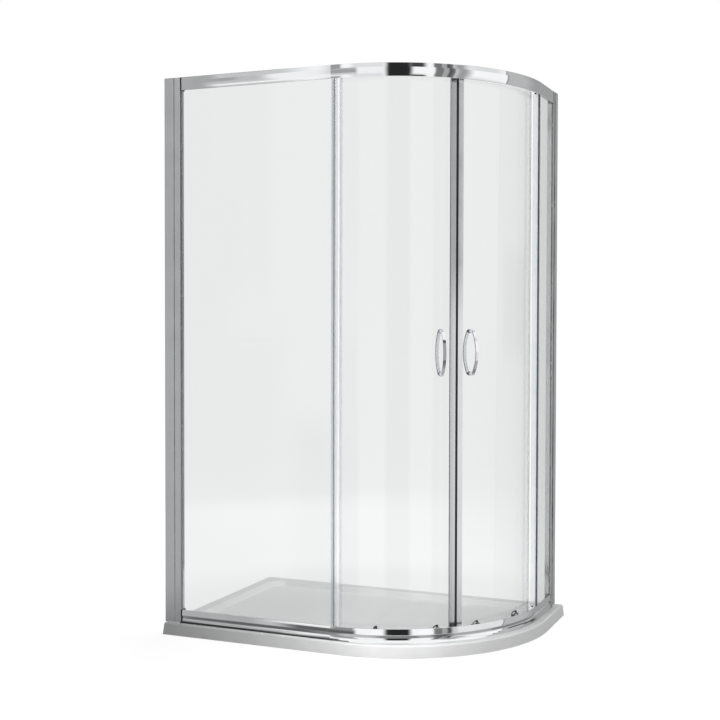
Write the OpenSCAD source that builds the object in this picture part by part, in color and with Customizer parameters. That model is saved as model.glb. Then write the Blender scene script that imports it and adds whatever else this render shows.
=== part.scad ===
// Offset quadrant shower enclosure: a low tray, two fixed flat panels that meet a quarter-round front,
// and two curved doors that slide apart along a top and a bottom rail.
// X runs along the long wall, Y towards the back wall, Z up. The origin is the middle of the tray's footprint
// on the floor. A run of rail is drawn in section: its depth in from the rail's outer face, then height.

/* [Tray] */
// Length of the tray along the back wall
tray_length = 1200; // [1100:10:1400]
// Depth of the tray along the left wall
tray_depth = 800; // [760:10:1000]
// Height of the tray's top rim
tray_h = 40; // [35:1:60]
// Radius of the tray's rounded corner, at the floor
tray_corner_r = 550; // [520:5:600]
// How far the tray's sides lean in from floor to rim
tray_draft = 4; // [0:0.5:6]
// Radius of the tray's top edge
tray_edge_r = 5; // [2:0.5:8]
// Width of the rim that carries the rails
rim_front = 78; // [70:1:110]
// Width of the rim along the two walls
rim_wall = 46; // [40:1:80]
// Depth of the well below the rim
well_depth = 16; // [8:1:20]
// Width of the slope from the rim down to the well
well_slope = 20; // [8:1:40]
// Radius of the well's square corners
well_corner_r = 55; // [30:1:100]
// Extra fall of the well's floor to the waste
waste_fall = 5; // [0:0.5:8]
// Radius of the waste hole
waste_r = 45; // [30:1:50]
// Distance from the rounded edge in to the waste hole's centre
waste_inset = 165; // [140:5:250]

/* [Frame] */
// Height of the frame above the tray's rim
frame_h = 1850; // [1750:10:2000]
// Distance from the tray's front edge to the rails' outer face
rail_inset_front = 18; // [10:1:30]
// Distance from the tray's right edge to the rails' outer face
rail_inset_side = 34; // [20:1:45]
// Radius of the rails' outer face round the corner
rail_r = 550; // [520:5:580]
// Height of the top rail
top_rail_h = 44; // [40:1:60]
// Height of the bottom rail
bottom_rail_h = 46; // [44:1:60]
// Wall of the rails
rail_wall = 1.5; // [1.2:0.1:2]
// Depth of both rails, from the outer face to the lip
rail_d = 25.5; // [25:0.5:27]
// Height of the top rail's running ledge above the rail's foot
top_ledge_z = 10; // [8:0.5:12]
// Height of the bottom rail's hold-down ledge above the rail's foot
bottom_ledge_z = 28; // [28:0.5:30]

/* [Wall profiles] */
// How far the wall channel stands out from the wall
channel_w = 36; // [30:1:45]
// Thickness of the wall channel across its legs
channel_d = 30; // [28:1:36]
// Wall of the wall channel
channel_t = 1.6; // [1.2:0.1:2]
// Gap between the wall and the upright's back, taken up when the enclosure is fitted
adjust_gap = 8; // [4:1:14]
// How far the upright shows beyond the wall channel
upright_show = 24; // [20:1:30]
// Wall of the upright
upright_t = 1.5; // [1.2:0.1:2]
// Running gap between the upright and the channel's legs
upright_gap = 0.3; // [0.1:0.1:0.6]
// Radius of the wall channel's fixing holes
fix_hole_r = 2.75; // [2:0.25:3.5]
// Spacing of the outer pair of fixing holes
fix_outer = 1600; // [1400:10:1700]
// Spacing of the inner pair of fixing holes
fix_inner = 560; // [400:10:900]
// Radius of the screws that join the upright to the channel
screw_r = 1.75; // [1.5:0.05:2.25]
// Spacing of the upper and lower joining screws
screw_spread = 1500; // [1300:10:1650]

/* [Glass] */
// Thickness of the glass
glass_t = 6; // [5:0.5:8]
// Outer face of the fixed panels, in from the rails' outer face
fixed_in = 4; // [3.8:0.1:4.5]
// Gap between the glass and the walls of its pocket
pocket_gap = 1; // [0.8:0.1:1.2]
// Outer face of the doors, in from the rails' outer face
door_in = 33; // [32:0.5:36]
// How far the glass goes into the rails' pockets
pocket_hold = 12; // [8:1:13]
// How far the fixed panels go into the uprights
upright_hold = 14; // [8:1:16]
// How far the fixed panels run on past the start of the rails' curve
panel_over = 10; // [0:0.5:12]

/* [Doors] */
// Width of the chrome profile on a door's leading edge
lead_w = 18; // [14:1:24]
// Width of each magnetic seal
seal_w = 3.9; // [3:0.1:6]
// Gap between the two magnetic seals
meet_gap = 0.3; // [0.2:0.1:1]
// Width of the trailing seal
trail_w = 9; // [6:1:12]
// How far a door's trailing edge stays from the start of the rails' curve
trail_short = 16.7; // [14:0.1:20]
// Angle from the meeting line to the first roller
roller_near = 8.4; // [8:0.1:10]
// Angle from the meeting line to the second roller
roller_far = 31; // [26:0.1:31.5]
// Angle from the meeting line to the handle
handle_angle = 6; // [4.5:0.1:7]
// How far each door turns about its pole when it is open
open_angle = 22.5; // [18:0.5:22.5]
// How far the pole lies in front of the rails' centre, towards the fixed panel's side
pole_side = 10.5; // [4:0.5:12]
// How far the pole lies behind the rails' centre
pole_back = 8.5; // [2:0.5:10]

/* [Rollers] */
// Radius of the top wheels
top_wheel_r = 12.5; // [11:0.1:12.6]
// Radius of the bottom wheels
bottom_wheel_r = 9; // [8:0.1:9]
// Width of the wheels
wheel_w = 4.6; // [4:0.1:5]
// Radius of the axles
axle_r = 3; // [2:0.1:3.5]
// Running gap between a wheel's bore and its axle
axle_gap = 0.05; // [0.02:0.01:0.1]
// Gap between a wheel's tread and its ledge
tread_gap = 0.2; // [0.1:0.05:0.4]
// Thickness of an axle's head
head_h = 0.8; // [0.6:0.1:1]
// Radius of the collars that the glass bears on
collar_r = 8; // [6:0.5:9]
// Radius of the caps inside the glass
cap_r = 10; // [8:0.5:12]
// Height of the caps inside the glass
cap_h = 8; // [6:0.5:10]

/* [Quick releases] */
// Travel of a release
release_travel = 4.5; // [4.5:0.1:5]
// Height of the bottom brackets
bracket_h = 11.7; // [11:0.1:14]
// Thickness of the bottom brackets
bracket_t = 11; // [10.5:0.1:12]
// How far a bracket reaches past its bolt and past the release's stem
bracket_side = 8; // [7:0.5:9]
// Slope on a bracket's upper inner edge
bracket_slope = 4; // [3:0.5:5]
// Distance from a bracket's bolt to the release's stem
stem_side = 14.5; // [13:0.5:16]
// Radius of the stem
stem_r = 3; // [2:0.1:3]
// Running gap round the stem
stem_gap = 0.1; // [0.05:0.05:0.2]
// Radius of the release's button
button_r = 4.2; // [3.5:0.1:4.5]
// Height of the button
button_h = 4.2; // [3:0.1:5]
// Radius of the hook that a thumb pulls
hook_r = 14; // [13:0.5:16]
// Width of the hook
hook_w = 4.5; // [3:0.5:5]
// Thickness of the hook
hook_t = 2.6; // [2:0.1:3]
// Angle that the hook turns away from pointing straight in
hook_turn = 41; // [30:1:50]
// Radius of the brackets' bolts and of the handles' studs
stud_r = 2.5; // [2:0.1:3]
// Radius of the bolts' heads
bolt_head_r = 5; // [4:0.5:6]
// Height of the bolts' heads
bolt_head_h = 2.4; // [1.5:0.1:3]

/* [Handles] */
// Height of the handles' middle above the floor
handle_z = 970; // [900:5:1100]
// Distance between a handle's two feet
handle_span = 138; // [110:1:200]
// Radius of a handle's feet
foot_r = 7.5; // [6:0.1:9]
// Length of a handle's feet
foot_len = 12; // [10:0.5:20]
// How far the bow rises beyond the feet
bow_rise = 22; // [12:1:26]
// Width of the bow
bow_w = 11; // [8:0.5:12]
// Thickness of the bow
bow_t = 6; // [4:0.5:8]

/* [Hidden] */

arc_fn = 180;
round_fn = 48;
left = 0;
right = 1;
// Overlap that keeps a cut clean
cut = 1;
// Gap between a piece and its seat
seat = 0.2;
// Clearance of a hole round the rod that fills it
hole_gap = 0.05;

// The two walls, the rails' outer faces and the centre of the rails' arc
wall_x = -tray_length / 2;
wall_y = tray_depth / 2;
face_x = tray_length / 2 - rail_inset_side;
face_y = -tray_depth / 2 + rail_inset_front;
arc_x = face_x - rail_r;
arc_y = face_y + rail_r;

// Heights
frame_top = tray_h + frame_h;
top_rail_z = frame_top - top_rail_h;
bottom_rail_top = tray_h + bottom_rail_h;

// Depths in from the rails' outer face: the fixed glass's pocket, then the wheels' track
pocket_in = fixed_in - pocket_gap;
pocket_out = fixed_in + glass_t + pocket_gap;
track_in = pocket_out + rail_wall;
wheel_mid = (track_in + head_h + seat + rail_d - rail_wall) / 2;
wheel_in = wheel_mid - wheel_w / 2;
wheel_out = wheel_mid + wheel_w / 2;
door_out = door_in + glass_t;

// Distances along a run from its wall
upright_end = channel_w + upright_show;
rail_end = upright_end + 6;
slot_depth = upright_hold + 2;
glass_start = upright_end - upright_hold;

// Placing

// A section swept along the long front, round the corner and along the right side
module front_run(from_x, to_x) {
    translate([from_x, face_y, 0]) rotate([90, 0, 90]) linear_extrude(to_x - from_x) children();
}
module corner_run() {
    translate([arc_x, arc_y, 0]) rotate(-90) rotate_extrude(angle = 90, $fn = arc_fn)
        translate([rail_r, 0]) mirror([1, 0]) children();
}
module side_run(from_y, to_y) {
    translate([face_x, from_y, 0]) rotate([90, 0, 180]) linear_extrude(to_y - from_y) children();
}
module rail_run(start) {
    front_run(wall_x + start, arc_x) children();
    corner_run() children();
    side_run(arc_y, wall_y - start) children();
}

// A plan at one wall: X is the distance along the run from that wall, Y the depth in from the rails' face
module at_wall(side) {
    if (side == left) translate([wall_x, face_y, 0]) children();
    else translate([face_x, wall_y, 0]) mirror([1, 1, 0]) children();
}
// Length of a fixed panel's run from its wall to the start of the rails' arc
function run_length(side) = side == left ? arc_x - wall_x : wall_y - arc_y;

// A door's own place: X points out along the meeting line, and angles grow from it towards the trailing edge
module at_door(side) {
    translate([arc_x, arc_y, 0]) rotate(-45) {
        if (side == right) children();
        else mirror([0, 1, 0]) children();
    }
}
// A roller's own place: X points out through its axle and Y the same way round on both doors
module at_roller(side, angle) {
    translate([arc_x, arc_y, 0]) rotate(-45 + (side == right ? angle : -angle)) children();
}
// A radial place on a door: Z points outwards from the rails' centre
module radial(angle, height) {
    rotate(angle) translate([0, 0, height]) rotate([0, 90, 0]) children();
}
// A curved wall between two depths, two angles and two heights
module curved_wall(depth_0, depth_1, angle_0, angle_1, z_0, z_1) {
    rotate(angle_0) rotate_extrude(angle = angle_1 - angle_0, $fn = arc_fn)
        translate([rail_r - depth_1, z_0]) square([depth_1 - depth_0, z_1 - z_0]);
}
// A cylinder along a door's radius between two depths
module radial_rod(angle, height, depth_0, depth_1, r, fn = round_fn) {
    radial(angle, height) translate([0, 0, rail_r - depth_1])
        cylinder(r = r, h = depth_1 - depth_0, $fn = fn);
}

// Angle that a length along the door's glass covers
function along(length) = length / (rail_r - door_in - glass_t / 2) * 180 / PI;

// Tray

tray_x = tray_length / 2 - tray_corner_r;
tray_y = -tray_depth / 2 + tray_corner_r;
well_floor = tray_h - well_depth;

// Half of a section: an upright side that leans in and rounds over into the rim, with the rest to its right
function edge_points(reach, rise) = concat(
    [[reach, 0], [0, 0]],
    [for (i = [0:6])
        let (a = 90 * i / 6)
        [tray_draft * (1 - tray_edge_r / rise) + tray_edge_r * (1 - cos(a)),
            rise - tray_edge_r * (1 - sin(a))]],
    [[reach, rise]]
);

// One level of the well: the rim's inner outline, drawn in by inset
module well_outline(inset, z, thick) {
    r_square = well_corner_r;
    r_round = tray_corner_r - rim_front - inset;
    low_x = -tray_length / 2 + rim_wall + inset + r_square;
    high_x = tray_length / 2 - rim_front - inset - r_square;
    low_y = -tray_depth / 2 + rim_front + inset + r_square;
    high_y = tray_depth / 2 - rim_wall - inset - r_square;
    for (p = [[low_x, low_y], [low_x, high_y], [high_x, high_y]])
        translate([p[0], p[1], z]) cylinder(r = r_square, h = thick, $fn = 32);
    translate([tray_x, tray_y, z]) intersection() {
        cylinder(r = r_round, h = thick, $fn = 128);
        translate([0, -r_round, 0]) cube([r_round, r_round, thick]);
    }
}
waste_x = tray_x + (tray_corner_r - waste_inset) * cos(45);
waste_y = tray_y - (tray_corner_r - waste_inset) * sin(45);

module shower_tray() {
    skin = 0.5;
    color("white") difference() {
        intersection() {
            union() {
                translate([-tray_length / 2, -tray_depth / 2, 0]) rotate([90, 0, 90])
                    linear_extrude(tray_x + tray_length / 2) polygon(edge_points(tray_depth, tray_h));
                translate([tray_x, tray_y, 0]) rotate(-90) rotate_extrude(angle = 90, $fn = arc_fn)
                    translate([tray_corner_r, 0]) mirror([1, 0]) polygon(edge_points(tray_corner_r, tray_h));
                translate([tray_length / 2, tray_y, 0]) rotate([90, 0, 180])
                    linear_extrude(tray_depth / 2 - tray_y) polygon(edge_points(tray_corner_r, tray_h));
            }
            translate([-tray_length / 2, tray_depth / 2 + cut, 0]) rotate([90, 0, 0])
                linear_extrude(tray_depth + 2 * cut) polygon(edge_points(tray_length + cut, tray_h));
            translate([-tray_length / 2 - cut, tray_depth / 2, 0]) rotate([90, 0, 90]) mirror([1, 0, 0])
                linear_extrude(tray_length + 2 * cut) polygon(edge_points(tray_depth + cut, tray_h));
        }
        hull() {
            well_outline(0, tray_h, skin + cut);
            well_outline(well_slope, well_floor, skin);
        }
        hull() {
            well_outline(well_slope + 2, well_floor, skin);
            translate([waste_x, waste_y, well_floor - waste_fall])
                cylinder(r = waste_r + 12, h = skin, $fn = 64);
        }
        translate([waste_x, waste_y, -cut]) cylinder(r = waste_r, h = tray_h, $fn = 96);
    }
}

// Wall channels and uprights

module wall_channel(side) {
    color("gainsboro") at_wall(side) difference() {
        translate([0, 0, tray_h]) linear_extrude(frame_h) difference() {
            square([channel_w, channel_d]);
            translate([channel_t, channel_t]) square([channel_w, channel_d - 2 * channel_t]);
        }
        for (z = [-fix_outer, -fix_inner, fix_inner, fix_outer] / 2)
            translate([-cut, channel_d / 2, tray_h + frame_h / 2 + z]) rotate([0, 90, 0])
                cylinder(r = fix_hole_r, h = channel_t + 2 * cut, $fn = round_fn);
        joining_holes(channel_d - channel_t - cut, channel_t + 2 * cut, screw_r + 0.4);
    }
}
module wall_channel_left() wall_channel(left);
module wall_channel_right() wall_channel(right);

screw_s = channel_w - 10;
screw_heights = [for (z = [-1, 0, 1]) tray_h + frame_h / 2 + z * screw_spread / 2];

// A row of round holes, or of plain rods, across a wall channel
module joining_holes(depth, length, r) {
    for (z = screw_heights)
        translate([screw_s, depth, z]) rotate([-90, 0, 0]) cylinder(r = r, h = length, $fn = round_fn);
}

upright_in = channel_t + upright_gap;
upright_out = channel_d - channel_t - upright_gap;
slot_start = upright_end - slot_depth;

module upright(side) {
    color("silver") at_wall(side) difference() {
        translate([0, 0, tray_h]) linear_extrude(frame_h) difference() {
            translate([adjust_gap, upright_in]) square([upright_end - adjust_gap, upright_out - upright_in]);
            translate([adjust_gap + upright_t, upright_in + upright_t])
                square([slot_start - adjust_gap - 2 * upright_t, upright_out - upright_in - 2 * upright_t]);
            translate([slot_start, pocket_in]) square([slot_depth + cut, pocket_out - pocket_in]);
            translate([slot_start, track_in])
                square([slot_depth - upright_t, upright_out - upright_t - track_in]);
        }
        joining_holes(upright_out - upright_t - cut, upright_t + 2 * cut, screw_r + hole_gap);
    }
}
module upright_left() upright(left);
module upright_right() upright(right);

module joining_screws() {
    color("silver") for (side = [left, right]) at_wall(side) {
        joining_holes(upright_out - upright_t - 2.5, channel_d - upright_out + upright_t + 2.5 + seat,
            screw_r);
        joining_holes(channel_d + seat, 2, 3.4);
    }
}
module screw_caps() {
    color("silver") for (side = [left, right]) at_wall(side) difference() {
        union() {
            joining_holes(channel_d + seat, 2.6, 5.5);
            joining_holes(channel_d + seat + 2.6, 1, 4.8);
        }
        joining_holes(channel_d + seat - cut, 2.2 + cut, 3.6);
    }
}

// Rails

// Outer face of the top rail, from its top edge down: a flat band that leans back, a crease, a shallow cove
function top_face() = let (crease = top_rail_h * 0.68)
    concat(
        [[2.2, top_rail_h], [1.5, top_rail_h - 0.8], [0, crease]],
        [for (i = [1:6]) let (t = i / 6) [1.2 * sin(180 * t) + 0.4 * t, crease * (1 - t) + 0.6 * t]],
        [[1, 0]]
    );
// Outer face of the bottom rail, from its top edge down: a convex body that leans back over a groove,
// then an apron that sweeps out over the tray's rim
function bottom_face() = let (body_low = bottom_rail_h - 19, apron_h = 16, apron_in = 3.6, apron_out = 5)
    concat(
        [[2.4, bottom_rail_h]],
        [for (i = [0:5]) let (t = 1 - i / 5)
            [2.6 * pow(t, 1.6) - 1, body_low + t * (bottom_rail_h - body_low - 0.6)]],
        [[-0.6, body_low - 1], [apron_in, body_low - 1.8]],
        [for (i = [0:5]) let (t = i / 5)
            [apron_in - (apron_in + apron_out) * pow(t, 1.7), 1.2 + (apron_h - 1.2) * (1 - t)]],
        [[-apron_out, 0]]
    );

// How much lower the bottom rail's pocket is at its back
back_drop = 6;

module top_section() {
    h = top_rail_h;
    w = rail_wall;
    ledge = top_ledge_z;
    polygon(concat(top_face(), [
        [pocket_in, 0], [pocket_in, h - w - 1], [pocket_out, h - w - 1], [pocket_out, ledge],
        [rail_d, ledge], [rail_d, ledge + w + 2], [rail_d - w, ledge + w + 2], [rail_d - w, ledge + w],
        [track_in, ledge + w], [track_in, h - w], [rail_d - w, h - w], [rail_d - w, h - w - 3],
        [rail_d, h - w - 3], [rail_d, h]
    ]));
}
module bottom_section() {
    h = bottom_rail_h;
    w = rail_wall;
    ledge = bottom_ledge_z;
    foot_in = 6.5;
    polygon(concat(bottom_face(), [
        [rail_d, 0], [rail_d, w], [-1.5, w], [foot_in, 16], [foot_in, ledge], [rail_d - w, ledge],
        [rail_d - w, ledge - 2.5], [rail_d, ledge - 2.5], [rail_d, ledge + w], [track_in, ledge + w],
        [track_in, h - back_drop], [pocket_out, h - back_drop], [pocket_out, ledge + w + 1],
        [pocket_in, ledge + w + 1], [pocket_in, h]
    ]));
}

module top_rail() {
    color("silver") rail_run(rail_end) translate([0, top_rail_z]) top_section();
}
module bottom_rail() {
    color("silver") rail_run(rail_end) translate([0, tray_h]) bottom_section();
}

// Caps that close the rails' ends against the uprights, with a slot for the fixed glass
module end_cap(side, z, face, h, slot_z, slot_h) {
    long = rail_end - upright_end - 2 * seat;
    at_wall(side) translate([upright_end + seat, 0, z]) rotate([90, 0, 90])
        linear_extrude(long) difference() {
        polygon(concat(face, [[rail_d, 0], [rail_d, h]]));
        translate([pocket_in, slot_z]) square([pocket_out - pocket_in, slot_h]);
    }
}
module rail_end_caps() {
    color("dimgray") for (side = [left, right]) {
        end_cap(side, top_rail_z, top_face(), top_rail_h, -cut, top_rail_h - rail_wall - 1 + cut);
        end_cap(side, tray_h, bottom_face(), bottom_rail_h, bottom_ledge_z + rail_wall + 1, bottom_rail_h);
    }
}

// Rubber stops in the top rail's track that end each door's travel
pole = [-pole_side, pole_back];
far_wheel = [-(rail_r - wheel_mid) * sin(roller_far - 45), -(rail_r - wheel_mid) * cos(roller_far - 45)];
far_open = pole + [
    cos(open_angle) * (far_wheel - pole)[0] + sin(open_angle) * (far_wheel - pole)[1],
    -sin(open_angle) * (far_wheel - pole)[0] + cos(open_angle) * (far_wheel - pole)[1]
];
stop_len = 12;
stop_gap = 0.5;
function stop_start(side) =
    max(rail_end + stop_gap, run_length(side) + far_open[0] - top_wheel_r - stop_gap - stop_len);
module track_stops() {
    color("dimgray") for (side = [left, right]) at_wall(side)
        translate([stop_start(side), 0, 0])
            translate([0, track_in + seat, top_rail_z + top_ledge_z + rail_wall + seat])
                cube([stop_len, rail_d - rail_wall - track_in - 2 * seat,
                    top_rail_h - top_ledge_z - 2 * rail_wall - 2 * seat - 4]);
}

// Fixed panels

glass_low = tray_h + bottom_rail_h - pocket_hold;
glass_high = top_rail_z + pocket_hold;
strip_low = bottom_rail_top + seat;
strip_high = top_rail_z - seat;

module fixed_glass(side) {
    color([0.85, 0.9, 0.9, 0.35]) at_wall(side)
        translate([glass_start, fixed_in, glass_low])
            cube([run_length(side) + panel_over - glass_start, glass_t, glass_high - glass_low]);
}
module fixed_glass_left() fixed_glass(left);
module fixed_glass_right() fixed_glass(right);

// Soft channel that holds the fixed glass in its upright and shows as a dark line beside it
module glazing_gasket(side) {
    gap = seat / 2;
    color("dimgray") at_wall(side) translate([0, 0, strip_low]) linear_extrude(strip_high - strip_low)
        difference() {
            translate([slot_start + gap, pocket_in + gap])
                square([slot_depth + 5, pocket_out - pocket_in - 2 * gap]);
            translate([glass_start - gap, fixed_in - gap]) square([slot_depth + 10, glass_t + 2 * gap]);
        }
}
module glazing_gasket_left() glazing_gasket(left);
module glazing_gasket_right() glazing_gasket(right);

// Clear strip over a panel's free edge, with a fin that leans in towards the door's trailing seal
strip_hold = 8;
strip_wall = 1.1;
strip_gap = 0.15;
strip_back = fixed_in + glass_t + strip_gap + strip_wall;
fin_reach = door_in - 5.5;
fin_lean = 4;
fin_end = 3;
function strip_tip(side) = run_length(side) + panel_over + strip_gap + strip_wall;
function fin_face(side, depth) =
    strip_tip(side) - seat + fin_lean * (depth - strip_back) / (fin_reach - strip_back);
module panel_strip(side) {
    tip = strip_tip(side);
    root = strip_back - 0.3;
    color("silver") at_wall(side) {
        translate([0, 0, strip_low]) linear_extrude(strip_high - strip_low) difference() {
            translate([tip - strip_wall - strip_gap - strip_hold, fixed_in - strip_gap - strip_wall])
                square([strip_hold + strip_gap + strip_wall, glass_t + 2 * (strip_gap + strip_wall)]);
            translate([tip - strip_wall - strip_gap - strip_hold - cut, fixed_in - strip_gap])
                square([strip_hold + strip_gap + cut, glass_t + 2 * strip_gap]);
        }
        translate([0, 0, bottom_rail_top - fin_end])
            linear_extrude(top_rail_z - bottom_rail_top + 2 * fin_end)
            polygon([[fin_face(side, root) - strip_wall, root], [fin_face(side, root), root],
                [fin_face(side, fin_reach), fin_reach], [fin_face(side, fin_reach) - strip_wall, fin_reach]]);
    }
}
module panel_strip_left() panel_strip(left);
module panel_strip_right() panel_strip(right);

// Soft bead along the root of a strip's fin
module panel_seal(side) {
    front = strip_back + 0.35;
    back = front + 3.8;
    color("black") at_wall(side) translate([0, 0, bottom_rail_top - back_drop + seat])
        linear_extrude(top_rail_z + top_ledge_z - bottom_rail_top + back_drop - 2 * seat)
            polygon([[fin_face(side, front) + seat, front], [fin_face(side, front) + 3.2, front],
                [fin_face(side, front) + 4.2, (front + back) / 2], [fin_face(side, front) + 3.2, back],
                [fin_face(side, back) + seat, back]]);
}
module panel_seal_left() panel_seal(left);
module panel_seal_right() panel_seal(right);

// Small plugs at both ends of the strips' fins
module seal_plugs() {
    plug = [4, 6, 3.8];
    color("black") for (side = [left, right]) at_wall(side)
        for (z = [bottom_rail_top - fin_end - seat - plug[2], top_rail_z + fin_end + seat])
            translate([fin_face(side, 20) - strip_wall - 0.7, 20 - plug[1] / 2, z]) cube(plug);
}

// Doors

lead_start = meet_gap / 2 + seal_w + 0.1;
glass_lead = lead_start + 2;
trail_angle = 45 - along(trail_short);
glass_trail = trail_angle - along(2);
axle_top_z = top_rail_z + top_ledge_z + rail_wall + tread_gap + top_wheel_r;
axle_low_z = tray_h + bottom_ledge_z - tread_gap - bottom_wheel_r;
door_low = axle_low_z + axle_r + 1.5;
door_high = frame_top - 4;
bracket_low = door_low + 2;
bracket_high = bracket_low + bracket_h;
bolt_z = bracket_low + bracket_h * 0.57;
rollers = [roller_near, roller_far];
glass_hole_r = 5;

module door_glass(side) {
    color([0.85, 0.9, 0.9, 0.35]) at_door(side) difference() {
        curved_wall(door_in, door_out, along(glass_lead), glass_trail, door_low, door_high);
        for (a = rollers) {
            radial_rod(a, axle_top_z, door_in - cut, door_out + cut, glass_hole_r);
            radial_rod(a, bolt_z, door_in - cut, door_out + cut, stud_r + 1);
        }
        for (z = [-1, 1] * handle_span / 2)
            radial_rod(handle_angle, handle_z + z, door_in - cut, door_out + cut, stud_r + 1);
    }
}
module door_glass_left() door_glass(left);
module door_glass_right() door_glass(right);

// Chrome channel over the leading edge, with a nose that the magnetic seal clips on
module lead_profile(side) {
    gap = 0.15;
    wall = 1.8;
    color("silver") at_door(side) difference() {
        curved_wall(door_in - gap - wall, door_out + gap + wall,
            along(lead_start), along(lead_start + lead_w),
            door_low + 0.5, door_high - 0.5);
        curved_wall(door_in - gap, door_out + gap, along(glass_lead - gap), along(lead_start + lead_w + cut),
            door_low - cut, door_high + cut);
    }
}
module lead_profile_left() lead_profile(left);
module lead_profile_right() lead_profile(right);

module magnetic_seal(side) {
    color("black") at_door(side) {
        curved_wall(door_in - 1, door_out + 1, along(meet_gap / 2), along(meet_gap / 2 + seal_w),
            door_low + 0.5, door_high - 0.5);
    }
}
module magnetic_seal_left() magnetic_seal(left);
module magnetic_seal_right() magnetic_seal(right);

// Clear channel over the trailing edge with a fin that meets the fixed panel's seal
module trailing_seal(side) {
    gap = 0.1;
    wall = 1.1;
    fin_step = 0.3;
    a_0 = trail_angle - along(trail_w);
    color("lightgray") at_door(side) difference() {
        union() {
            curved_wall(door_in - gap - wall, door_out + gap + wall, a_0, trail_angle,
                door_low + 3, door_high - 22);
            curved_wall(door_in - 4, door_in - gap - wall / 2, trail_angle - along(wall + fin_step),
                trail_angle - along(fin_step), door_low + 3 + fin_step, door_high - 22 - fin_step);
        }
        curved_wall(door_in - gap, door_out + gap, a_0 - along(cut), glass_trail + along(gap),
            door_low - cut, door_high + cut);
    }
}
module trailing_seal_left() trailing_seal(left);
module trailing_seal_right() trailing_seal(right);

// Hangers: a headed axle with a round collar that bears on the glass and a shank that goes through it
head_r = axle_r * 1.5;
shank_in = cap_h * 0.6;
module top_hangers(side) {
    color("silver") at_door(side) for (a = rollers) union() {
        radial_rod(a, axle_top_z, wheel_in - seat - head_h, wheel_in - seat, head_r);
        radial_rod(a, axle_top_z, wheel_in - seat - head_h / 2, door_out + shank_in, axle_r);
        radial_rod(a, axle_top_z, wheel_out + seat, rail_d, head_r);
        radial_rod(a, axle_top_z, rail_d - 0.3, door_in - seat, collar_r);
    }
}
module top_hangers_left() top_hangers(left);
module top_hangers_right() top_hangers(right);

module hanger_caps(side) {
    color("silver") at_door(side) for (a = rollers) difference() {
        radial(a, axle_top_z) translate([0, 0, rail_r - door_out - seat]) rotate([180, 0, 0])
            rotate_extrude($fn = round_fn)
                polygon([[0, 0], [cap_r, 0], [cap_r, 0.38 * cap_h], [0.94 * cap_r, 0.65 * cap_h],
                    [0.76 * cap_r, 0.85 * cap_h], [0.5 * cap_r, 0.95 * cap_h], [0, cap_h]]);
        radial_rod(a, axle_top_z, door_out - cut, door_out + shank_in + 0.3, axle_r + hole_gap);
    }
}
module hanger_caps_left() hanger_caps(left);
module hanger_caps_right() hanger_caps(right);

// Bottom brackets: a block inside the glass, bolted above the wheel, that guides the release beside it
stem_in = door_out + seat + bracket_t / 2 + 0.5;
bracket_step = 2;
module bracket_sector(side_0, side_1, section) {
    rotate(along(side_0)) rotate_extrude(angle = along(side_1 - side_0), $fn = arc_fn)
        translate([rail_r - door_out - seat - bracket_t, 0]) polygon(section);
}
module bottom_brackets(side) {
    step_z = bracket_high - bracket_step;
    color("dimgray") for (a = rollers) at_roller(side, a) difference() {
        bracket_sector(-bracket_side, stem_side + bracket_side + 1,
            [[0, bracket_low], [bracket_t, bracket_low], [bracket_t, bracket_high],
            [bracket_slope, bracket_high], [0, bracket_high - bracket_slope]]);
        bracket_sector(-bracket_side - cut, stem_side - bracket_side + bracket_step,
            [[-cut, step_z], [bracket_t + cut, step_z], [bracket_t + cut, bracket_high + cut],
            [-cut, bracket_high + cut]]);
        translate([rail_r - stem_in, stem_side, bracket_low - cut])
            cylinder(r = stem_r + stem_gap, h = bracket_h + 2 * cut, $fn = round_fn);
        radial_rod(0, bolt_z, door_out, door_out + bracket_t + 2 * cut, stud_r + hole_gap);
    }
}
module bottom_brackets_left() bottom_brackets(left);
module bottom_brackets_right() bottom_brackets(right);

module bracket_bolts(side) {
    color("black") at_door(side) for (a = rollers) {
        radial_rod(a, bolt_z, door_in - seat - bolt_head_h / 2, door_out + bracket_t - 0.5, stud_r);
        radial_rod(a, bolt_z, door_in - seat - bolt_head_h, door_in - seat, bolt_head_r);
    }
}
module bracket_bolts_left() bracket_bolts(left);
module bracket_bolts_right() bracket_bolts(right);

// Quick release: a button with a thumb hook, its stem, a foot below the glass and the bottom wheel's axle,
// in one piece. The same piece fits all four places, so its hook points the same way on both doors.
foot_edge = 3;
button_low = bracket_high + release_travel + 0.3;
module release(side, a) {
    foot_low = axle_low_z - axle_r - 2;
    foot_wall = stem_r + 1;
    color("black") at_roller(side, a) union() {
        translate([rail_r - stem_in - foot_wall, -foot_edge, foot_low])
            cube([stem_in + foot_wall - door_in - 1, stem_side + foot_wall + foot_edge,
                door_low - seat - foot_low]);
        radial_rod(0, axle_low_z, wheel_in - seat - head_h / 2, door_in + 2, axle_r);
        radial_rod(0, axle_low_z, wheel_in - seat - head_h, wheel_in - seat, head_r);
        radial_rod(0, axle_low_z, wheel_out + seat, door_in + 1.5, axle_r + 1);
        translate([rail_r - stem_in, stem_side, 0]) {
            translate([0, 0, door_low - 1])
                cylinder(r = stem_r, h = button_low - door_low + 2, $fn = round_fn);
            translate([0, 0, button_low]) rotate_extrude($fn = round_fn)
                polygon([[0, 0], [button_r, 0], [button_r, 0.4 * button_h],
                    [0.85 * button_r, 0.75 * button_h],
                    [0.5 * button_r, button_h], [0, button_h]]);
            rotate(180 + hook_turn) translate([0, 0, button_low + 0.4 * button_h - hook_r]) rotate([90, 0, 0])
                rotate_extrude(angle = 90, $fn = 96)
                    translate([hook_r - hook_t / 2, -hook_w / 2]) square([hook_t, hook_w]);
        }
    }
}
module release_left_near() release(left, roller_near);
module release_left_far() release(left, roller_far);
module release_right_near() release(right, roller_near);
module release_right_far() release(right, roller_far);

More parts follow.
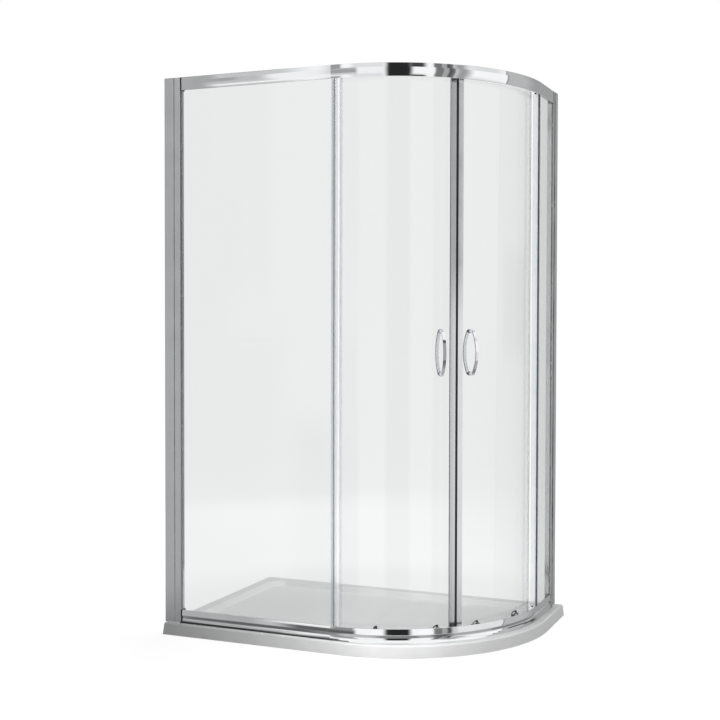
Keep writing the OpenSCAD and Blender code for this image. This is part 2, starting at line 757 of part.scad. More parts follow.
// Wheels: a shallow groove round the tread and a raised hub
module wheel(side, a, height, r) {
    half = wheel_w / 2;
    color("whitesmoke") at_door(side) radial(a, height) translate([0, 0, rail_r - wheel_mid])
        rotate_extrude($fn = round_fn)
            polygon([[axle_r + axle_gap, -half], [axle_r + 2.2, -half], [axle_r + 2.2, -half + 0.8],
                [r - 2, -half + 0.8], [r - 1.6, -half + 0.3], [r - 0.6, -half + 0.3], [r, -half + 1],
                [r, half - 1], [r - 0.6, half - 0.3], [r - 1.6, half - 0.3], [r - 2, half - 0.8],
                [axle_r + 2.2, half - 0.8], [axle_r + 2.2, half], [axle_r + axle_gap, half]]);
}
module top_wheel_left_near() wheel(left, roller_near, axle_top_z, top_wheel_r);
module top_wheel_left_far() wheel(left, roller_far, axle_top_z, top_wheel_r);
module top_wheel_right_near() wheel(right, roller_near, axle_top_z, top_wheel_r);
module top_wheel_right_far() wheel(right, roller_far, axle_top_z, top_wheel_r);
module bottom_wheel_left_near() wheel(left, roller_near, axle_low_z, bottom_wheel_r);
module bottom_wheel_left_far() wheel(left, roller_far, axle_low_z, bottom_wheel_r);
module bottom_wheel_right_near() wheel(right, roller_near, axle_low_z, bottom_wheel_r);
module bottom_wheel_right_far() wheel(right, roller_far, axle_low_z, bottom_wheel_r);

// Handles

// A bow between two round feet: an arc of an upright circle that passes over both feet
bow_r = (pow(handle_span / 2, 2) + pow(bow_rise, 2)) / (2 * bow_rise);
bow_half = asin(handle_span / 2 / bow_r);
module bow_handle() {
    for (z = [-1, 1] * handle_span / 2) translate([0, 0, z]) rotate([0, 90, 0]) difference() {
        union() {
            cylinder(r = foot_r, h = 2, $fn = round_fn);
            cylinder(r1 = foot_r - 1, r2 = foot_r - 2, h = foot_len, $fn = round_fn);
            translate([0, 0, foot_len]) sphere(r = foot_r - 2, $fn = round_fn);
        }
        translate([0, 0, -cut]) cylinder(r = stud_r + hole_gap, h = foot_len * 0.7 + cut, $fn = round_fn);
    }
    translate([foot_len + bow_rise - bow_r, 0, 0]) rotate([90, 0, 0]) rotate(-bow_half)
        rotate_extrude(angle = 2 * bow_half, $fn = arc_fn) translate([bow_r, 0]) bow_section();
}
module bow_section() {
    intersection() {
        circle(r = bow_w / 2, $fn = 40);
        square([bow_t, bow_w], center = true);
    }
}
module handle_outer(side) {
    color("silver") at_door(side) rotate(handle_angle) translate([rail_r - door_in + 0.25, 0, handle_z])
        bow_handle();
}
module handle_outer_left() handle_outer(left);
module handle_outer_right() handle_outer(right);
module handle_inner(side) {
    color("silver") at_door(side) rotate(handle_angle) translate([rail_r - door_out - 0.25, 0, handle_z])
        mirror([1, 0, 0]) bow_handle();
}
module handle_inner_left() handle_inner(left);
module handle_inner_right() handle_inner(right);
module handle_studs(side) {
    reach = foot_len * 0.7 - 1;
    color("silver") at_door(side) for (z = [-1, 1] * handle_span / 2)
        radial_rod(handle_angle, handle_z + z, door_in - reach, door_out + reach, stud_r);
}
module handle_studs_left() handle_studs(left);
module handle_studs_right() handle_studs(right);

shower_tray();
wall_channel_left();
wall_channel_right();
upright_left();
upright_right();
top_rail();
bottom_rail();
rail_end_caps();
fixed_glass_left();
fixed_glass_right();
glazing_gasket_left();
glazing_gasket_right();
panel_strip_left();
panel_strip_right();
panel_seal_left();
panel_seal_right();
seal_plugs();
joining_screws();
screw_caps();
track_stops();
door_glass_left();
door_glass_right();
lead_profile_left();
lead_profile_right();
magnetic_seal_left();
magnetic_seal_right();
trailing_seal_left();
trailing_seal_right();
top_hangers_left();
top_hangers_right();
hanger_caps_left();
hanger_caps_right();
bottom_brackets_left();
bottom_brackets_right();
bracket_bolts_left();
bracket_bolts_right();
handle_outer_left();
handle_outer_right();
handle_inner_left();
handle_inner_right();
handle_studs_left();
handle_studs_right();
top_wheel_left_near();
top_wheel_left_far();
top_wheel_right_near();
top_wheel_right_far();
bottom_wheel_left_near();
bottom_wheel_left_far();
bottom_wheel_right_near();
bottom_wheel_right_far();
release_left_near();
release_left_far();
release_right_near();
release_right_far();
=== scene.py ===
# %% [markdown]
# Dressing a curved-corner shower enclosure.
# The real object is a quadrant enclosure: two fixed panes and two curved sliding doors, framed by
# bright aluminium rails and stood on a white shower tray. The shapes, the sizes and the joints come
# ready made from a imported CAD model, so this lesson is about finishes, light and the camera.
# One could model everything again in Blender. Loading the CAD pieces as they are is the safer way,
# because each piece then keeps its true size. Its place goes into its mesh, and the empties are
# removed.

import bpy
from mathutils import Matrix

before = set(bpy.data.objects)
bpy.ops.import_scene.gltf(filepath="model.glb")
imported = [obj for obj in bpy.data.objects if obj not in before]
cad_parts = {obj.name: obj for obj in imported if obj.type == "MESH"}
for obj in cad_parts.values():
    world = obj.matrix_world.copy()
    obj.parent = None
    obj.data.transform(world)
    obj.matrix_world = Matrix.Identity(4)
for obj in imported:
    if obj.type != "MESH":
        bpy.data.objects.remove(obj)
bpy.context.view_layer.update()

# %% [markdown]
# The camera.
# The photograph was taken from the front right, a little over a metre above the floor and about
# four and a quarter metres from the object's middle, with a short telephoto lens, so upright lines
# stay nearly parallel. A camera could be aimed by eye. Here its place and angles come from fitting
# 89 points on the object's corners and edges, which puts five in six of them within half a pixel.
# The small shift moves the view down without tilting the camera, as a crop of a photograph does.

# %% Camera
import math

import bpy
from mathutils import Matrix, Vector

photo_side = 720  # pixels, the photograph is square
focal_pixels = 1216.915  # focal length, in pixels of the photograph
axis_row = 346.755  # the row of pixels, from the top, that the lens points at
film_width = 36.0  # millimetres
camera_place = (1.6117, -3.9499, 1.0930)  # metres
heading, tilt, lean = 0.39597, 0.02662, 0.00211  # radians

scene = bpy.context.scene
camera_data = bpy.data.cameras.new("camera")
camera_data.sensor_width = film_width
camera_data.lens = focal_pixels / photo_side * film_width
camera_data.shift_y = (axis_row - photo_side / 2) / photo_side
camera = bpy.data.objects.new("camera", camera_data)
scene.collection.objects.link(camera)
ahead = Vector((-math.sin(heading), math.cos(heading), 0))
forward = ahead * math.cos(tilt) - Vector((0, 0, math.sin(tilt)))
sideways = Vector((math.cos(heading), math.sin(heading), 0))
upward = sideways.cross(forward)
right = sideways * math.cos(lean) + upward * math.sin(lean)
top = upward * math.cos(lean) - sideways * math.sin(lean)
turn = Matrix((right, top, -forward)).transposed()
camera.matrix_world = Matrix.Translation(camera_place) @ turn.to_4x4()
scene.camera = camera
print("lens in mm:", round(camera_data.lens, 2), "shift:", round(camera_data.shift_y, 4))

# %% [markdown]
# A finish is a small tree of shader nodes.
# Every finish here starts the same way: one Principled shader whose colour, roughness and surface
# normal are varied a little by noise. The noise reads the object's own coordinates, which are the
# same metres as the CAD model, so a scale of 500 means grains of about two millimetres.
# Noise stays near its middle value most of the time. The two pairs of limits below say how much of
# its range is stretched over the whole change of roughness, and over the whole change of colour.
# Writing that start once as a helper keeps each finish down to the few lines that make it special.

# %% Start of a finish
dull_from, dull_to = 0.35, 0.65
tint_from, tint_to = 0.3, 0.7
noise_roughness = 0.55
seed_shares = (1.0, 0.7, 1.3)


def start_finish(name):
    finish = bpy.data.materials.new(name)
    finish.use_nodes = True
    tree = finish.node_tree
    tree.nodes.clear()
    output = tree.nodes.new("ShaderNodeOutputMaterial")
    shader = tree.nodes.new("ShaderNodeBsdfPrincipled")
    tree.links.new(shader.outputs["BSDF"], output.inputs["Surface"])
    return finish, tree, shader


def output_of(tree):
    """The last node of a finish, which hands its surface and its inside to the piece."""
    return next(n for n in tree.nodes if n.type == "OUTPUT_MATERIAL")


def grain(tree, stretch, detail, seed):
    """Noise over the piece. stretch is how many waves a metre holds along X, Y and Z, and each
    seed starts somewhere else, so that two grains of one finish don't line up."""
    place = tree.nodes.new("ShaderNodeTexCoord")
    spread = tree.nodes.new("ShaderNodeMapping")
    spread.inputs["Scale"].default_value = stretch
    spread.inputs["Location"].default_value = [seed * share for share in seed_shares]
    noise = tree.nodes.new("ShaderNodeTexNoise")
    noise.inputs["Scale"].default_value = 1.0
    noise.inputs["Detail"].default_value = detail
    noise.inputs["Roughness"].default_value = noise_roughness
    tree.links.new(place.outputs["Object"], spread.inputs["Vector"])
    tree.links.new(spread.outputs["Vector"], noise.inputs["Vector"])
    return noise.outputs["Fac"]


def between(tree, pattern, low, high):
    """The pattern spread over the range from low to high."""
    fit = tree.nodes.new("ShaderNodeMapRange")
    fit.inputs["From Min"].default_value = dull_from
    fit.inputs["From Max"].default_value = dull_to
    fit.inputs["To Min"].default_value = low
    fit.inputs["To Max"].default_value = high
    tree.links.new(pattern, fit.inputs["Value"])
    return fit.outputs["Result"]


def tint(tree, pattern, dark, light):
    """A colour that wanders between two near tones with the pattern."""
    ramp = tree.nodes.new("ShaderNodeValToRGB")
    ramp.color_ramp.elements[0].position = tint_from
    ramp.color_ramp.elements[1].position = tint_to
    ramp.color_ramp.elements[0].color = (*dark, 1)
    ramp.color_ramp.elements[1].color = (*light, 1)
    tree.links.new(pattern, ramp.inputs["Fac"])
    return ramp.outputs["Color"]


def relief(tree, shader, pattern, depth):
    """The pattern as fine relief, depth metres from its lowest to its highest point."""
    bump = tree.nodes.new("ShaderNodeBump")
    bump.inputs["Distance"].default_value = depth
    bump.inputs["Strength"].default_value = 1.0
    tree.links.new(pattern, bump.inputs["Height"])
    tree.links.new(bump.outputs["Normal"], shader.inputs["Normal"])


print("noise limits: roughness", (dull_from, dull_to), "colour", (tint_from, tint_to))

# %% [markdown]
# Bright metal.
# The rails are extruded aluminium, polished and bright-dipped until they mirror the room. Even
# so, the die leaves faint lines along the run, and handling leaves patches that are a little duller.
# A plain mirror would look like a hole in the picture. So the colour is a pale grey, the roughness
# wanders slightly, and a shallow relief stretched along the run bends each reflection a little.

# %% Bright metal
def bright_metal(name, dark, light, dull, lines, depth):
    """dark and light are its two near tones, dull is its range of roughness, lines is the stretch
    of the lines that the die left, and depth is how deep they are, in metres."""
    finish, tree, shader = start_finish(name)
    handling = grain(tree, (9, 9, 9), detail=4, seed=2.0)
    die_lines = grain(tree, lines, detail=2, seed=5.0)
    shader.inputs["Metallic"].default_value = 1.0
    tree.links.new(tint(tree, handling, dark, light), shader.inputs["Base Color"])
    tree.links.new(between(tree, handling, *dull), shader.inputs["Roughness"])
    relief(tree, shader, die_lines, depth)
    return finish


run_lines = (3, 3, 420)
upright_lines = (700, 700, 2)
rail_metal = bright_metal(
    "polished rail", dark=(0.80, 0.81, 0.82), light=(0.86, 0.87, 0.88), dull=(0.03, 0.07),
    lines=run_lines, depth=0.000004)
channel_metal = bright_metal(
    "polished upright", dark=(0.77, 0.78, 0.79), light=(0.84, 0.85, 0.86), dull=(0.10, 0.17),
    lines=upright_lines, depth=0.000006)
profile_metal = bright_metal(
    "polished door profile", dark=(0.76, 0.77, 0.78), light=(0.84, 0.85, 0.86), dull=(0.14, 0.19),
    lines=upright_lines, depth=0.000004)
print("metals:", rail_metal.name, channel_metal.name, profile_metal.name)

# %% [markdown]
# Plated parts.
# Handles and hangers are cast or turned and then chromium plated. Plating is harder and a little
# bluer than polished aluminium, it has no direction, and over a casting it follows a very slight
# orange peel. Screws and bolts are zinc plated steel, which is greyer and duller. The same helper
# makes both, with an even grain instead of lines.

# %% Plating
even_peel = (160, 160, 160)
peel_depth = 0.000008
plated = bright_metal(
    "chromium plating", dark=(0.78, 0.80, 0.82), light=(0.84, 0.86, 0.88), dull=(0.02, 0.05),
    lines=even_peel, depth=peel_depth)
zinc_steel = bright_metal(
    "bright steel", dark=(0.62, 0.63, 0.64), light=(0.70, 0.71, 0.72), dull=(0.16, 0.26),
    lines=even_peel, depth=peel_depth)
print("plated finishes:", plated.name, zinc_steel.name)

# %% [markdown]
# Choosing by the kind of ray.
# Light meets a studio's things in many ways: straight on, through glass, off metal. The renderer
# tells a shader which kind of ray is asking, so the shader can answer each kind in its own way.
# Fully traced glass shadows would be the purest choice, but they take very long and stay grainy.
# The glass, the floor and the world below all make such a choice, so it is two small helpers.

# %% Choosing by the kind of ray
def any_ray(tree, kinds):
    """1 for a ray of any of these kinds, such as Camera or Glossy, and 0 for the others."""
    path = tree.nodes.new("ShaderNodeLightPath")
    found = path.outputs["Is " + kinds[0] + " Ray"]
    for kind in kinds[1:]:
        either = tree.nodes.new("ShaderNodeMath")
        either.operation = "MAXIMUM"
        tree.links.new(found, either.inputs[0])
        tree.links.new(path.outputs["Is " + kind + " Ray"], either.inputs[1])
        found = either.outputs["Value"]
    return found


def choose(tree, switch, when_off, when_on):
    """One shader while the switch is 0, and another while it is 1."""
    mix = tree.nodes.new("ShaderNodeMixShader")
    tree.links.new(switch, mix.inputs["Fac"])
    tree.links.new(when_off, mix.inputs[1])
    tree.links.new(when_on, mix.inputs[2])
    return mix.outputs["Shader"]


seen_rays = ["Camera", "Transmission"]
print("rays that look at a thing straight or through glass:", seen_rays)

# %% [markdown]
# Safety glass.
# The panes are six millimetre toughened glass. They are clear, but they take a little light and turn
# it a cold grey, most at the edges, where one looks along the sheet. A volume inside the pane does
# that truly. The shader is glass with a trace of surface waviness, since toughened glass is never
# quite flat. Lamps pass through it by the switch above, or each pane would throw a black shadow.

# %% Glass
pane_haze = (0.0, 0.02)  # roughness
pane_wave = 0.00002  # metres
lamp_light_kept = (0.92, 0.93, 0.93, 1)


def safety_glass(name, density, colour):
    """density is how fast the glass takes light, per metre, and colour is what it leaves."""
    finish, tree, shader = start_finish(name)
    shader.inputs["Base Color"].default_value = (1, 1, 1, 1)
    shader.inputs["Transmission Weight"].default_value = 1.0
    shader.inputs["IOR"].default_value = 1.5
    film = grain(tree, (6, 6, 4), detail=3, seed=9.0)
    tree.links.new(between(tree, film, *pane_haze), shader.inputs["Roughness"])
    wave = grain(tree, (4, 4, 2.5), detail=1, seed=3.0)
    relief(tree, shader, wave, pane_wave)
    clear = tree.nodes.new("ShaderNodeBsdfTransparent")
    clear.inputs["Color"].default_value = lamp_light_kept
    to_lamps = any_ray(tree, ["Shadow"])
    surface = choose(tree, to_lamps, shader.outputs["BSDF"], clear.outputs["BSDF"])
    tree.links.new(surface, output_of(tree).inputs["Surface"])
    inside = tree.nodes.new("ShaderNodeVolumeAbsorption")
    inside.inputs["Color"].default_value = (*colour, 1)
    inside.inputs["Density"].default_value = density
    tree.links.new(inside.outputs["Volume"], output_of(tree).inputs["Volume"])
    return finish


pane_glass = safety_glass("toughened glass", density=60.0, colour=(0.52, 0.55, 0.545))
print("glass:", pane_glass.name)

# %% [markdown]
# The tray.
# It is a cast resin core under a glossy white acrylic skin. White goods are never pure white: the
# skin is near 0.85, with a faint mottling and the slightest ripple where it cooled. One shiny layer
# could do, but the real gloss sits in a clear top layer over a softer body, so a coat makes it here.

# %% Tray skin
def acrylic(name, dark, light, dull, ripple_depth):
    finish, tree, shader = start_finish(name)
    mottle = grain(tree, (14, 14, 14), detail=5, seed=1.0)
    tree.links.new(tint(tree, mottle, dark, light), shader.inputs["Base Color"])
    tree.links.new(between(tree, mottle, *dull), shader.inputs["Roughness"])
    shader.inputs["Coat Weight"].default_value = 0.6
    shader.inputs["Coat Roughness"].default_value = 0.08
    ripple = grain(tree, (60, 60, 60), detail=2, seed=4.0)
    relief(tree, shader, ripple, ripple_depth)
    return finish


tray_skin = acrylic(
    "white acrylic skin", dark=(0.83, 0.83, 0.83), light=(0.87, 0.87, 0.87), dull=(0.28, 0.36),
    ripple_depth=0.00001)
print("tray:", tray_skin.name)

# %% [markdown]
# Rubber and plastic.
# The magnetic strips between the doors and the plugs at the ends of the seals are black and soft,
# so they hardly shine. The end caps, brackets, releases and stops are moulded black plastic with a
# fine spark-eroded grain. The glazing rubber is a pale, half clear grey. The strips on the glass
# edges are soft PVC: the wide ones on the panels are a little milky, and the thin seals are clear.
# The wheels and the screw caps are white nylon.
# Each could have a tree of its own. All of them are one helper with other numbers instead, so that
# they are easy to compare. bending is the refractive index: a low one keeps a strip's edges pale.

# %% Moulded finishes
def moulded(name, dark, light, dull, texture, depth, see_through=0.0, bending=1.5):
    """texture is how many grains a metre holds, and depth is how deep they are, in metres."""
    finish, tree, shader = start_finish(name)
    fine = grain(tree, (texture, texture, texture), detail=2, seed=7.0)
    broad = grain(tree, (12, 12, 12), detail=3, seed=6.0)
    tree.links.new(tint(tree, broad, dark, light), shader.inputs["Base Color"])
    tree.links.new(between(tree, broad, *dull), shader.inputs["Roughness"])
    shader.inputs["Transmission Weight"].default_value = see_through
    shader.inputs["IOR"].default_value = bending
    relief(tree, shader, fine, depth)
    return finish


black_rubber = moulded(
    "black rubber", dark=(0.010, 0.010, 0.011), light=(0.018, 0.018, 0.019), dull=(0.42, 0.55),
    texture=900, depth=0.00003)
black_moulding = moulded(
    "black moulded plastic", dark=(0.012, 0.012, 0.013), light=(0.022, 0.022, 0.023),
    dull=(0.28, 0.40), texture=1400, depth=0.00003)
clear_strip = moulded(
    "clear strip", dark=(0.92, 0.94, 0.95), light=(0.95, 0.96, 0.97), dull=(0.05, 0.10),
    texture=300, depth=0.000004, see_through=0.95, bending=1.18)
milky_strip = moulded(
    "milky strip", dark=(0.82, 0.85, 0.87), light=(0.87, 0.89, 0.91), dull=(0.05, 0.10),
    texture=300, depth=0.000004, see_through=0.92, bending=1.3)
grey_rubber = moulded(
    "grey glazing rubber", dark=(0.78, 0.79, 0.80), light=(0.85, 0.86, 0.87), dull=(0.20, 0.30),
    texture=600, depth=0.00001, see_through=0.5)
white_nylon = moulded(
    "white nylon", dark=(0.78, 0.78, 0.76), light=(0.84, 0.84, 0.82), dull=(0.30, 0.42),
    texture=800, depth=0.00002)
soft_and_hard = [black_rubber, black_moulding, clear_strip, milky_strip, grey_rubber, white_nylon]
print("moulded:", [finish.name for finish in soft_and_hard])

# %% [markdown]
# Putting the finishes on.
# Each CAD piece keeps its mesh and gets one finish. A table of piece names would do, but the names
# already say what a piece is, so the first word that fits decides. Anything that no word fits stops
# the script, which is kinder than a piece left grey by mistake.

# %% Dress the CAD pieces
dressing = [
    ("shower_tray", tray_skin),
    ("fixed_glass", pane_glass),
    ("door_glass", pane_glass),
    ("glazing_gasket", grey_rubber),
    ("magnetic_seal", black_rubber),
    ("panel_strip", milky_strip),
    ("panel_seal", clear_strip),
    ("seal_plugs", black_rubber),
    ("trailing_seal", clear_strip),
    ("lead_profile", profile_metal),
    ("wall_channel", channel_metal),
    ("upright", channel_metal),
    ("top_rail", rail_metal),
    ("bottom_rail", rail_metal),
    ("rail_end_caps", black_moulding),
    ("track_stops", black_moulding),
    ("bottom_brackets", black_moulding),
    ("release", black_moulding),
    ("screw_caps", white_nylon),
    ("joining_screws", zinc_steel),
    ("bracket_bolts", zinc_steel),
    ("top_hangers", plated),
    ("hanger_caps", plated),
    ("handle", plated),
    ("top_wheel", white_nylon),
    ("bottom_wheel", white_nylon),
]
for name, node in sorted(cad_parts.items()):
    fitting = [finish for word, finish in dressing if name.startswith(word)]
    if not fitting:
        raise SystemExit("no finish for " + name)
    node.data.materials.clear()
    node.data.materials.append(fitting[0])
print("dressed", len(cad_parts), "pieces")

# %% [markdown]
# The studio floor.
# Small studios roll out white paper and stand the object on it. A round sweep up a wall is the usual
# backdrop, but here the world behind is already white, so one large flat sheet is enough. It lies
# half a millimetre under the tray, so that the two faces don't fight for the same place.

# %% Floor sheet
def sheet(name, corners):
    """A flat four-cornered sheet from its corners in order."""
    made = bpy.data.meshes.new(name)
    made.from_pydata(corners, [], [(0, 1, 2, 3)])
    piece = bpy.data.objects.new(name, made)
    scene.collection.objects.link(piece)
    return piece


reach = 40.0
under = -0.0005
floor = sheet("floor", [(-reach, -reach, under), (reach, -reach, under),
                        (reach, reach, under), (-reach, reach, under)])
floor.visible_glossy = False
print("floor:", 2 * reach, "metres square")

# %% [markdown]
# The paper's white.
# The photograph stands on pure white. A brighter lamp could burn the floor out, but it would burn
# the tray with it. So the paper adds a little of its own light for the camera and for what is seen
# through the glass. Near the tray the glow is held back, so the soft shadow at the tray's foot
# stays, and further out it rises to nearly plain white, so no edge shows behind the object. To
# every other ray the paper is a dull grey, so that it hardly lights the object from below.

# %% Floor paper
glow_starts, glow_full = 0.75, 1.2  # metres from the object's middle
glow_near, glow_far = 0.91, 0.985
paper_grey = (0.12, 0.12, 0.12, 1)
bounce_grey = (0.18, 0.18, 0.18, 1)


def glow_by_distance(tree):
    """How strongly the paper glows: glow_near at the object, glow_far away from it."""
    spot = tree.nodes.new("ShaderNodeTexCoord")
    away = tree.nodes.new("ShaderNodeVectorMath")
    away.operation = "LENGTH"
    tree.links.new(spot.outputs["Object"], away.inputs[0])
    glow = tree.nodes.new("ShaderNodeMapRange")
    glow.interpolation_type = "SMOOTHSTEP"
    limits = {"From Min": glow_starts, "From Max": glow_full, "To Min": glow_near, "To Max": glow_far}
    for socket, value in limits.items():
        glow.inputs[socket].default_value = value
    tree.links.new(away.outputs["Value"], glow.inputs["Value"])
    return glow.outputs["Result"]


paper, tree, shader = start_finish("white paper floor")
shader.inputs["Base Color"].default_value = paper_grey
shader.inputs["Roughness"].default_value = 0.9
shader.inputs["Specular IOR Level"].default_value = 0.0
shader.inputs["Emission Color"].default_value = (1, 1, 1, 1)
tree.links.new(glow_by_distance(tree), shader.inputs["Emission Strength"])
bounce = tree.nodes.new("ShaderNodeBsdfDiffuse")
bounce.inputs["Color"].default_value = bounce_grey
surface = choose(tree, any_ray(tree, seen_rays), bounce.outputs["BSDF"], shader.outputs["BSDF"])
tree.links.new(surface, output_of(tree).inputs["Surface"])
floor.data.materials.append(paper)
print("paper glow:", glow_near, "at the object,", glow_far, "from", glow_full, "metres out")

# %% [markdown]
# The world.
# Behind the object a studio has more white paper, and around it a dim room. One even white world
# would do for the view, but as a light it would wash out every shadow. So the world is plain white to
# the camera, through the glass and in reflections, and as a light it is a dim grey room that only
# fills the shadows, because the lamps do the rest.

# %% World
def background(tree, colour, strength):
    paint = tree.nodes.new("ShaderNodeBackground")
    paint.inputs["Color"].default_value = (*colour, 1)
    paint.inputs["Strength"].default_value = strength
    return paint.outputs["Background"]


room_light = 0.14
world = bpy.data.worlds.new("studio")
scene.world = world
world.use_nodes = True
tree = world.node_tree
tree.nodes.clear()
room = background(tree, (0.98, 0.99, 1.0), room_light)
white = background(tree, (1, 1, 1), 1.0)
output = tree.nodes.new("ShaderNodeOutputWorld")
surroundings = choose(tree, any_ray(tree, seen_rays + ["Glossy"]), room, white)
tree.links.new(surroundings, output.inputs["Surface"])
print("world: white to look at, a room of", room_light, "as light")

# %% [markdown]
# Lamps.
# The tray tells where the light came from: its front edge goes from mid grey at the far left to
# near white where the curve starts, and back to a light grey on the right. That is one small soft
# lamp close to the start of the curve. A wide one on the right, one overhead and one behind fill
# the rest. One strong sun would be simpler, but it would light the whole edge evenly. The powers
# were tuned until the tray's tones came close to the photograph's.
# The lamps are kept out of every reflection and out of the view, since the wall below stands for
# all that the polished metal shows.

# %% Lamps
def soft_lamp(name, place, aim, size, power):
    """A square or oblong lamp: place, aim and size in metres, power in watts."""
    data = bpy.data.lights.new(name, "AREA")
    data.shape = "RECTANGLE"
    data.size, data.size_y = size
    data.energy = power
    lamp = bpy.data.objects.new(name, data)
    lamp.location = place
    lamp.rotation_euler = (Vector(aim) - Vector(place)).to_track_quat("-Z", "Y").to_euler()
    scene.collection.objects.link(lamp)
    lamp.visible_camera = False
    lamp.visible_glossy = False
    lamp.visible_transmission = False
    return lamp


lamps = [
    soft_lamp("key", place=(0.32, -0.84, 0.46), aim=(0.1, -0.3, 0.1), size=(0.4, 0.4), power=4.8),
    soft_lamp("side", place=(2.0, 0.3, 0.6), aim=(0.5, 0.1, 0.2), size=(1.2, 1.2), power=12),
    soft_lamp("overhead", place=(0.0, 0.4, 2.7), aim=(0.0, 0.3, 0.0), size=(1.6, 1.2), power=50),
    soft_lamp("fill", place=(-1.5, 2.2, 1.2), aim=(0.0, 0.3, 0.2), size=(1.5, 1.5), power=17),
]
print("lamps:", [(lamp.name, round(lamp.data.energy, 1)) for lamp in lamps])

# %% [markdown]
# The studio wall.
# Polished metal shows only what stands around it. A curved rail works like a fish-eye: it folds the
# whole studio into a few centimetres, so one dark screen becomes the black band in its middle.
# Separate cards would each need their own place. One tall round wall painted with a list of screens
# is easier to change: each screen is a span of bearings in degrees and a span of heights in metres,
# with a tone and soft edges. Bearing 0 is straight out from the long front, and 90 is straight out
# from the short side. The top rail shows heights of about 2 to 4 m, and the body of the bottom rail
# shows what is near the floor. What lies below the brink stands for the studio's floor, which the
# groove of the bottom rail shows. Only reflections see this wall. A later screen covers an earlier
# one.

# %% Screens on the wall
white_wall = 1.1
all_left, all_right = -181, 181  # bearings that pass both ends of the wall
foot, crown = -9, 12  # heights that pass the wall's lower and upper edge
brink, deep = -0.95, -12  # where the studio's floor starts, and a height far below it
screens = [
    # name, from and to in bearing, from and to in height, softness of both,
    # lean in degrees a metre, tone
    ("white wall near the front", -34, 20, 1.2, 3.3, 2.0, 0.3, 0, 1.03),
    ("light grey upper wall", -34, -26.5, 3.45, 4.1, 2.0, 0.1, 0, 0.66),
    ("pale wall above the curve", -8, 16, 3.45, 4.3, 3.0, 0.1, 0, 0.86),
    ("grey screen beside the side wall", -34, -26.9, 1.2, 3.0, 0.5, 0.3, 0, 0.60),
    ("dark foot of that screen", -33, -29.3, 1.2, 2.1, 0.5, 0.3, 0, 0.42),
    ("grey side wall on the left", all_left, -29.4, foot, crown, 0.4, 1.0, -1.0, 0.45),
    ("low grey wall", all_left, -26, foot, 1.0, 2.0, 0.3, 0, 0.47),
    ("dark skirting", -25.5, -3, foot, 0.35, 1.8, 0.2, 0, 0.13),
    ("dark shelf", -19, -4, 0.2, 1.0, 2.0, 0.2, 0, 0.30),
    ("soft grey panel", -21.5, -3, 1.2, 3.0, 1.5, 1.0, 0, 0.36),
    ("small grey panel above", -23.5, -16, 3.55, 4.3, 1.5, 0.1, 0, 0.38),
    ("dark doorway", 17.6, 35.3, brink, 4.2, 2.2, 0.1, 0, 0.025),
    ("dark canopy beside it", 34, 45.5, 3.55, 4.2, 2.5, 0.1, 0, 0.06),
    ("grey post", 51.5, 58, brink, 4.3, 0.9, 0.2, 0, 0.20),
    ("grey gap", 58, 61.5, brink, 4.3, 0.6, 0.2, 0, 0.42),
    ("dark post", 61.2, 66, brink, 4.3, 0.5, 0.2, 0, 0.08),
    ("blue grey screen", 66, 77, 1.2, 4.3, 5.0, 0.2, 0, 0.38),
    ("pale upper wall", 78, 107, 3.4, 4.4, 6.0, 0.3, 0, 0.84),
    ("pale lower wall", 68, 107, brink, 1.0, 4.0, 0.3, 0, 0.88),
    ("dark upper corner", -60, -28.6, 4.15, crown, 0.6, 0.1, 0, 0.17),
    ("low grey screen", 64.5, 69, brink, 1.0, 1.5, 0.2, 0, 0.70),
    ("grey side wall on the right", 107.6, 150, foot, crown, 0.5, 1.0, 1.2, 0.55),
    ("darker side wall", 138, all_right, foot, crown, 12.0, 1.0, 0, 0.38),
    ("seam between two walls", 106.6, 107.8, foot, 4.3, 0.4, 0.2, 1.2, 0.25),
    ("dark flag for the left of a handle", -128, -42, foot, crown, 3.0, 1.0, 0, 0.04),
    ("dark flag for the right of a handle", 114, 150, 0.8, 1.55, 3.0, 0.15, 0, 0.04),
    ("studio floor", all_left, all_right, deep, brink, 1.0, 0.15, 0, 0.27),
    ("dark floor near the side wall", -34, -23.5, deep, brink, 1.0, 0.15, 0, 0.14),
    ("light floor in front", -15, 12, deep, brink, 6.0, 0.15, 0, 0.60),
    ("light floor by the doorway", 41, 50, deep, brink, 3.0, 0.15, 0, 0.48),
    ("dark floor at the posts", 53, 62.5, deep, brink, 2.0, 0.15, 0, 0.14),
    ("light floor on the right", 66.5, 98, deep, brink, 2.0, 0.15, 0, 0.46),
]


def rise(value, edge, soft):
    """0 below the edge, 1 above it, smooth over the softness."""
    share = min(1.0, max(0.0, 0.5 + (value - edge) / (2 * soft)))
    return share * share * (3 - 2 * share)


def wall_tone(bearing, height):
    """The tone of the wall at a place: 0 is black, 1 is white paper."""
    tone = white_wall
    for name, left, right, low, high, soft_side, soft_up, lean, paint in screens:
        across = bearing - lean * height
        cover = rise(across, left, soft_side) * rise(-across, -right, soft_side)
        cover *= rise(height, low, soft_up) * rise(-height, -high, soft_up)
        tone += (paint - tone) * cover
    return tone


darkest = min(screens, key=lambda screen: screen[-1])
print("screens:", len(screens), "and the darkest is the", darkest[0])

# %% [markdown]
# The points of the wall.
# In a studio the wall could be a paper curtain on a round rail. An image could be painted and
# wrapped round it, but this lesson uses no image. So the wall is a grid of points five metres out,
# each with its own tone. The grid is fine where a screen's edge has to be crisp, and coarse
# elsewhere.

# %% Points of the wall
wall_radius = 5.0  # metres


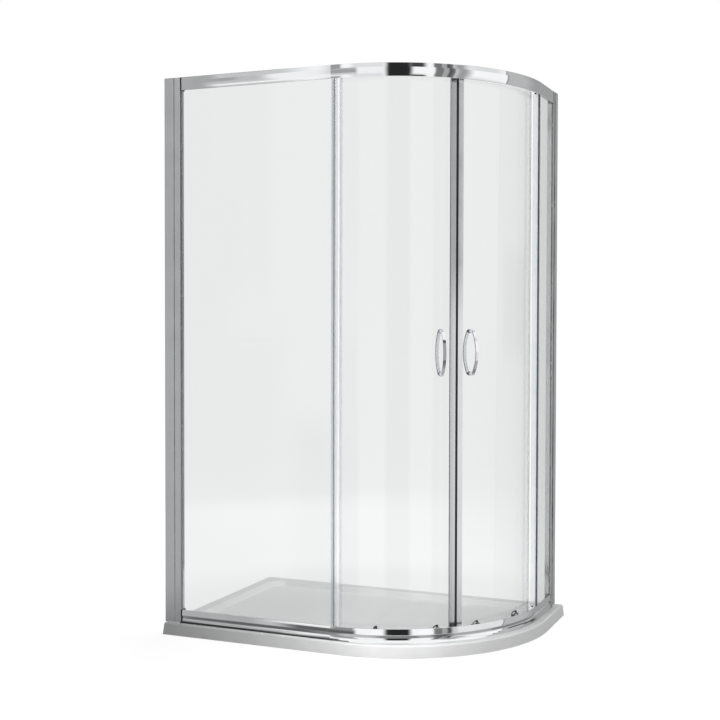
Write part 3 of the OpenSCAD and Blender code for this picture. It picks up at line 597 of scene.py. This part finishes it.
def spaced(stretches):
    """Values along stretches, each given as its start, end and step, up to the very last end."""
    values = []
    for start, end, step in stretches:
        steps = int(round((end - start) / step))
        values += [start + i * step for i in range(steps)]
    return values + [stretches[-1][1]]


bearings = spaced([(-180, -40, 4), (-40, -20, 0.25), (-20, 120, 0.5), (120, 180, 3)])  # degrees
heights = spaced([(-8, -1.4, 0.6), (-1.4, 4.4, 0.05), (4.4, 12, 0.4)])  # metres
spots, tones = [], []
for bearing in bearings:
    angle = math.radians(bearing)
    out = Vector((math.sin(angle), -math.cos(angle), 0)) * wall_radius
    for height in heights:
        spots.append((out.x, out.y, height))
        tones.append(wall_tone(bearing, height))
print("wall:", len(spots), "points, tones from", round(min(tones), 2), "to", round(max(tones), 2))

# %% [markdown]
# The wall itself.
# Real screens are lit card. Lamps could light the wall here as well, but then each tone would depend
# on where they stand. An emission shader shows the tone of each point just as it is.

# %% Round wall
up = len(heights)
starts = [column * up + step for column in range(len(bearings) - 1) for step in range(up - 1)]
tiles = [(corner, corner + up, corner + up + 1, corner + 1) for corner in starts]
wall_mesh = bpy.data.meshes.new("studio_wall")
wall_mesh.from_pydata(spots, [], tiles)
wall_mesh.attributes.new("tone", "FLOAT", "POINT").data.foreach_set("value", tones)
wall = bpy.data.objects.new("studio_wall", wall_mesh)
scene.collection.objects.link(wall)
wall_paint = bpy.data.materials.new("wall paint")
wall_paint.use_nodes = True
tree = wall_paint.node_tree
tree.nodes.clear()
tone = tree.nodes.new("ShaderNodeAttribute")
tone.attribute_name = "tone"
light = tree.nodes.new("ShaderNodeEmission")
output = tree.nodes.new("ShaderNodeOutputMaterial")
tree.links.new(tone.outputs["Fac"], light.inputs["Strength"])
tree.links.new(light.outputs[0], output.inputs["Surface"])
wall_mesh.materials.append(wall_paint)
wall.visible_camera = False
wall.visible_diffuse = False
wall.visible_transmission = False
wall.visible_shadow = False
print("wall:", len(tiles), "tiles, seen by reflections only")

# %% [markdown]
# The view.
# The Standard view transform shows a colour as it is written, so a white of 1 renders as plain white.

scene.view_settings.view_transform = "Standard"
